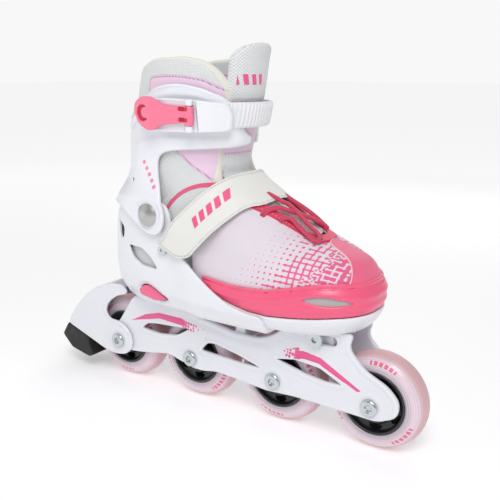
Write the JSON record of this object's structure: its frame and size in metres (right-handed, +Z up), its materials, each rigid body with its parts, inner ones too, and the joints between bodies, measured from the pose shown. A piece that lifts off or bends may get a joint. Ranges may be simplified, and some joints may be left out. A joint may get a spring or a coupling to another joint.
{
  "type": "adjustable in-line skate",
  "caption": "Child's adjustable in-line skate for the right foot: padded boot in hard shells, hinged cuff with ratchet buckle, sliding toe half, two-rail wheel frame and rear heel brake.",
  "frame": {"origin": "on the ground, midway between the second and third axles, in the plane of the wheels", "axes": "+X to the toe, +Y to the inner (left) side of the right foot, +Z up"},
  "size_m": [0.33, 0.1077, 0.273],
  "materials": {
    "white_shell": "satin moulded polypropylene",
    "white_frame": "satin moulded glass-filled nylon",
    "pink_bumper": "soft gloss thermoplastic",
    "pink_lever": "gloss acetal",
    "pink_button": "gloss acetal",
    "black_rubber": "matt brake rubber",
    "pink_urethane": "smooth cast urethane",
    "black_hub": "satin moulded nylon",
    "zinc_steel": "bright zinc plate",
    "bearing_steel": "ground bearing steel",
    "rivet_metal": "satin domed aluminium",
    "liner_mesh": "perforated sandwich mesh",
    "upper_print": "printed synthetic",
    "toe_print": "coated synthetic leather",
    "pink_trim": "coated synthetic leather",
    "strap_web": "coated strap with stitched edges",
    "ladder_plastic": "ribbed flexible plastic",
    "lace_cord": "braided polyester",
    "vent_fabric": "woven vent mesh",
    "insole_foam": "brushed foam insole"
  },
  "bodies": {
    "boot": {"chassis": "white_frame", "brake_arm": "white_frame", "brake_pad": "black_rubber", "brake_pad_screw": "zinc_steel", "axle_screws": "zinc_steel", "axle_nuts": "zinc_steel", "bearing_inner_rings": "bearing_steel", "bearing_spacers": "bearing_steel", "heel_shell": "white_shell", "frame_screws": "zinc_steel", "button_spring": "bearing_steel", "liner_foot": "liner_mesh", "insole": "insole_foam", "tongue_instep": "liner_mesh", "instep_strap": "strap_web", "strap_screws": "zinc_steel", "cuff_rivets": "rivet_metal"},
    "toe": {"toe_sole": "white_shell", "toe_slide_bolt": "zinc_steel", "toe_slide_nut": "zinc_steel", "bumper": "pink_bumper", "vent_mesh": "vent_fabric", "vamp": "upper_print", "toe_cap": "toe_print", "eyestay": "pink_trim", "laces": "lace_cord"},
    "cuff": {"cuff": "white_shell", "liner_shaft": "liner_mesh", "tongue_shaft": "liner_mesh", "buckle_base": "white_shell", "buckle_pin": "zinc_steel", "ladder_strap": "ladder_plastic", "ladder_rivet": "zinc_steel"},
    "lever": {"buckle_lever": "pink_lever"},
    "pawl": {"buckle_pawl": "zinc_steel"},
    "button": {"size_button": "pink_button"},
    "wheel_1": {"wheel_1_tyre": "pink_urethane", "wheel_1_hub": "black_hub", "wheel_1_outer_rings": "bearing_steel", "wheel_1_balls": "bearing_steel"},
    "wheel_2": {"wheel_2_tyre": "pink_urethane", "wheel_2_hub": "black_hub", "wheel_2_outer_rings": "bearing_steel", "wheel_2_balls": "bearing_steel"},
    "wheel_3": {"wheel_3_tyre": "pink_urethane", "wheel_3_hub": "black_hub", "wheel_3_outer_rings": "bearing_steel", "wheel_3_balls": "bearing_steel"},
    "wheel_4": {"wheel_4_tyre": "pink_urethane", "wheel_4_hub": "black_hub", "wheel_4_outer_rings": "bearing_steel", "wheel_4_balls": "bearing_steel"}
  },
  "joints": [
    {"name": "toe_slide", "type": "slide", "parent": "boot", "child": "toe", "axis": [1, 0, 0], "range_m": [0, 0.012], "deforming": ["instep_strap"]},
    {"name": "cuff_lean", "type": "hinge", "parent": "boot", "child": "cuff", "pos_m": [-0.052, 0, 0.153], "axis": [0, 1, 0], "range_deg": [-2, 12]},
    {"name": "lever_swing", "type": "hinge", "parent": "cuff", "child": "lever", "pos_m": [-0.01126, -0.04853, 0.22475], "axis": [0, 0, 1], "range_deg": [0, 95]},
    {"name": "pawl_tilt", "type": "hinge", "parent": "cuff", "child": "pawl", "pos_m": [0.00072, -0.0342, 0.22475], "axis": [0, 0, 1], "range_deg": [0, 7.6]},
    {"name": "size_button_press", "type": "slide", "parent": "boot", "child": "button", "axis": [0, 1, 0], "range_m": [0, 0.004], "stiffness_N_per_m": 600, "springref_m": -0.002, "deforming": ["button_spring"]},
    {"name": "wheel_1_spin", "type": "hinge", "parent": "boot", "child": "wheel_1", "pos_m": [-0.112, 0, 0.035], "axis": [0, 1, 0], "continuous": true},
    {"name": "wheel_2_spin", "type": "hinge", "parent": "boot", "child": "wheel_2", "pos_m": [-0.038, 0, 0.035], "axis": [0, 1, 0], "continuous": true},
    {"name": "wheel_3_spin", "type": "hinge", "parent": "boot", "child": "wheel_3", "pos_m": [0.038, 0, 0.035], "axis": [0, 1, 0], "continuous": true},
    {"name": "wheel_4_spin", "type": "hinge", "parent": "boot", "child": "wheel_4", "pos_m": [0.114, 0, 0.035], "axis": [0, 1, 0], "continuous": true}
  ],
  "couplings": [
    {"joint": "pawl_tilt", "follows": "lever_swing", "ratio": 0.08}
  ]
}
